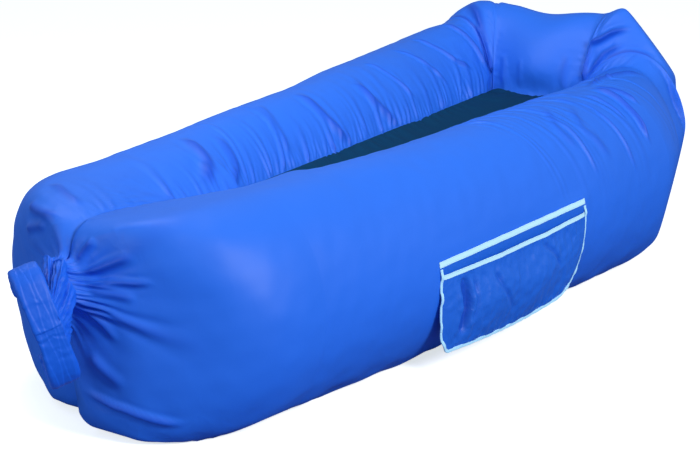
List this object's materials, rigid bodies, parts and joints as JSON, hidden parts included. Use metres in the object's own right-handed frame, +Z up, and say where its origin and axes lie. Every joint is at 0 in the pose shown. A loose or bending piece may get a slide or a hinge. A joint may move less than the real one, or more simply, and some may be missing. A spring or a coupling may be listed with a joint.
{
  "type": "inflatable air lounger",
  "caption": "Air-filled lounger with two side tubes, headrest, slung seat cloth, rolled mouth closed by a buckle, and a hanging side pocket.",
  "frame": {"origin": "on the floor, under the middle of the length and the width", "axes": "+X from the rolled mouth at the foot to the headrest, +Y from the pocket side to the far side, +Z up"},
  "size_m": [2.1688, 0.9884, 0.6217],
  "materials": {
    "nylon": "satin coated nylon",
    "seat_cloth": "matte woven cloth",
    "pocket_cloth": "thin crinkled nylon",
    "tape": "pale woven tape",
    "webbing": "woven webbing",
    "buckle_plastic": "moulded acetal",
    "stiff_strip": "plain plastic strip"
  },
  "bodies": {
    "inflated_body": {"near_tube": "nylon", "near_elbow": "nylon", "far_tube": "nylon", "far_elbow": "nylon", "headrest": "nylon", "seat_panel": "seat_cloth", "mouth_neck": "nylon", "mouth_roll_middle": "nylon", "stiff_strip_middle": "stiff_strip", "pocket_top_tape": "tape"},
    "upper_arm": {"mouth_roll_upper": "nylon", "stiff_strip_upper": "stiff_strip", "strap_upper": "webbing", "buckle_plug": "buckle_plastic"},
    "lower_arm": {"mouth_roll_lower": "nylon", "stiff_strip_lower": "stiff_strip", "strap_lower": "webbing", "buckle_socket": "buckle_plastic"},
    "outer_prong": {"buckle_prong_outer": "buckle_plastic"},
    "inner_prong": {"buckle_prong_inner": "buckle_plastic"},
    "pocket": {"pocket_back": "pocket_cloth", "pocket_front": "pocket_cloth", "pocket_mouth_tape": "tape", "pocket_binding_foot": "tape", "pocket_binding_head": "tape", "pocket_binding_bottom": "tape"}
  },
  "joints": [
    {"name": "upper_arm_opens", "type": "hinge", "parent": "inflated_body", "child": "upper_arm", "pos_m": [-1.06313, -0.05904, 0.31298], "axis": [0.8152, -0.5094, 0.2756], "range_deg": [0, 70], "deforming": ["buckle_prong_outer", "buckle_prong_inner"]},
    {"name": "lower_arm_opens", "type": "hinge", "parent": "inflated_body", "child": "lower_arm", "pos_m": [-1.04108, -0.08207, 0.20521], "axis": [-0.8152, 0.5094, -0.2756], "range_deg": [0, 70]},
    {"name": "outer_prong_squeezed", "type": "hinge", "parent": "upper_arm", "child": "outer_prong", "pos_m": [-1.01226, 0.00819, 0.25011], "axis": [-0.5449, -0.8358, 0.0671], "range_deg": [0, 11], "stiffness_Nm_per_rad": 0.2},
    {"name": "inner_prong_squeezed", "type": "hinge", "parent": "upper_arm", "child": "inner_prong", "pos_m": [-0.99579, -0.0021, 0.25568], "axis": [0.5449, 0.8358, -0.0671], "range_deg": [0, 11], "stiffness_Nm_per_rad": 0.2},
    {"name": "pocket_lifts", "type": "hinge", "parent": "inflated_body", "child": "pocket", "pos_m": [-0.02247, -0.43426, 0.249], "axis": [-0.9942, 0.0969, -0.0474], "range_deg": [0, 85]}
  ],
  "couplings": [
    {"joint": "lower_arm_opens", "follows": "upper_arm_opens", "ratio": 1}
  ]
}
